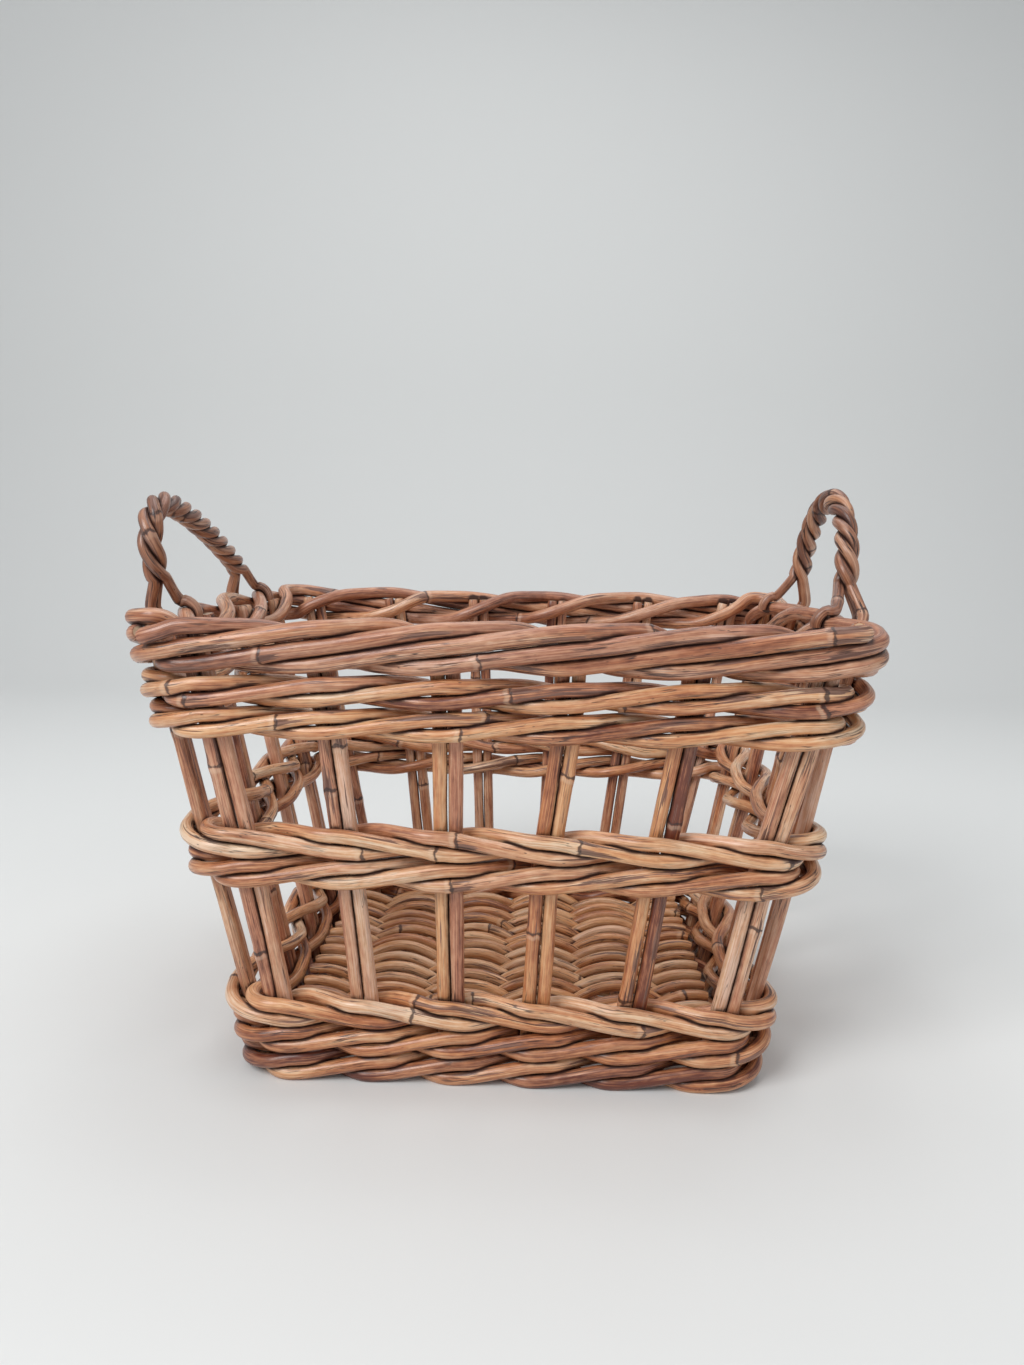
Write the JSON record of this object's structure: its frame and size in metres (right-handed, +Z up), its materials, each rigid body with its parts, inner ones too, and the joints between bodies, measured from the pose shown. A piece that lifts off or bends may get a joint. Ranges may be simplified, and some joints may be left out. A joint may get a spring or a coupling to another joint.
{
  "type": "rattan storage basket",
  "caption": "Rectangular open-work rattan storage basket with waled bands, a rolled border, twisted end handles and a woven base.",
  "frame": {"origin": "on the ground under the middle of the basket", "axes": "+X along the long side from the left handle to the right handle, +Y from the front long side to the back, +Z up"},
  "size_m": [0.3065, 0.2214, 0.2459],
  "materials": {
    "upright_cane": "dried peeled rattan, satin",
    "weaver_cane": "dried peeled rattan, satin",
    "border_cane": "dried peeled rattan, satin",
    "handle_cane": "dried rattan with some bark, satin",
    "base_stick_cane": "dried peeled rattan, satin",
    "base_cane": "dried peeled rattan, satin"
  },
  "bodies": {
    "root": {"stake_pair_front_1": "upright_cane", "stake_pair_front_2": "upright_cane", "stake_pair_front_3": "upright_cane", "stake_pair_front_4": "upright_cane", "stake_pair_front_5": "upright_cane", "stake_pair_front_6": "upright_cane", "stake_pair_right_1": "upright_cane", "stake_pair_right_2": "upright_cane", "stake_pair_right_3": "upright_cane", "stake_pair_right_4": "upright_cane", "stake_pair_back_1": "upright_cane", "stake_pair_back_2": "upright_cane", "stake_pair_back_3": "upright_cane", "stake_pair_back_4": "upright_cane", "stake_pair_back_5": "upright_cane", "stake_pair_back_6": "upright_cane", "stake_pair_left_1": "upright_cane", "stake_pair_left_2": "upright_cane", "stake_pair_left_3": "upright_cane", "stake_pair_left_4": "upright_cane", "foot_wale_rod_1": "weaver_cane", "foot_wale_rod_2": "weaver_cane", "foot_wale_rod_3": "weaver_cane", "lower_base_wale_rod_1": "weaver_cane", "lower_base_wale_rod_2": "weaver_cane", "lower_base_wale_rod_3": "weaver_cane", "upper_base_wale_rod_1": "weaver_cane", "upper_base_wale_rod_2": "weaver_cane", "upper_base_wale_rod_3": "weaver_cane", "lower_middle_wale_rod_1": "weaver_cane", "lower_middle_wale_rod_2": "weaver_cane", "lower_middle_wale_rod_3": "weaver_cane", "upper_middle_wale_rod_1": "weaver_cane", "upper_middle_wale_rod_2": "weaver_cane", "upper_middle_wale_rod_3": "weaver_cane", "lower_rim_wale_rod_1": "weaver_cane", "lower_rim_wale_rod_2": "weaver_cane", "lower_rim_wale_rod_3": "weaver_cane", "upper_rim_wale_rod_1": "weaver_cane", "upper_rim_wale_rod_2": "weaver_cane", "upper_rim_wale_rod_3": "weaver_cane", "rim_border_rod_1": "border_cane", "rim_border_rod_2": "border_cane", "rim_border_rod_3": "border_cane", "rim_border_rod_4": "border_cane", "left_handle_outer_rod_1": "handle_cane", "left_handle_outer_rod_2": "handle_cane", "left_handle_inner_rod": "handle_cane", "right_handle_outer_rod_1": "handle_cane", "right_handle_outer_rod_2": "handle_cane", "right_handle_inner_rod": "handle_cane", "base_stick_1": "base_stick_cane", "base_stick_2": "base_stick_cane", "base_stick_3": "base_stick_cane", "base_stick_4": "base_stick_cane", "base_stick_5": "base_stick_cane", "base_stick_6": "base_stick_cane", "base_weave": "base_cane"}
  },
  "joints": []
}
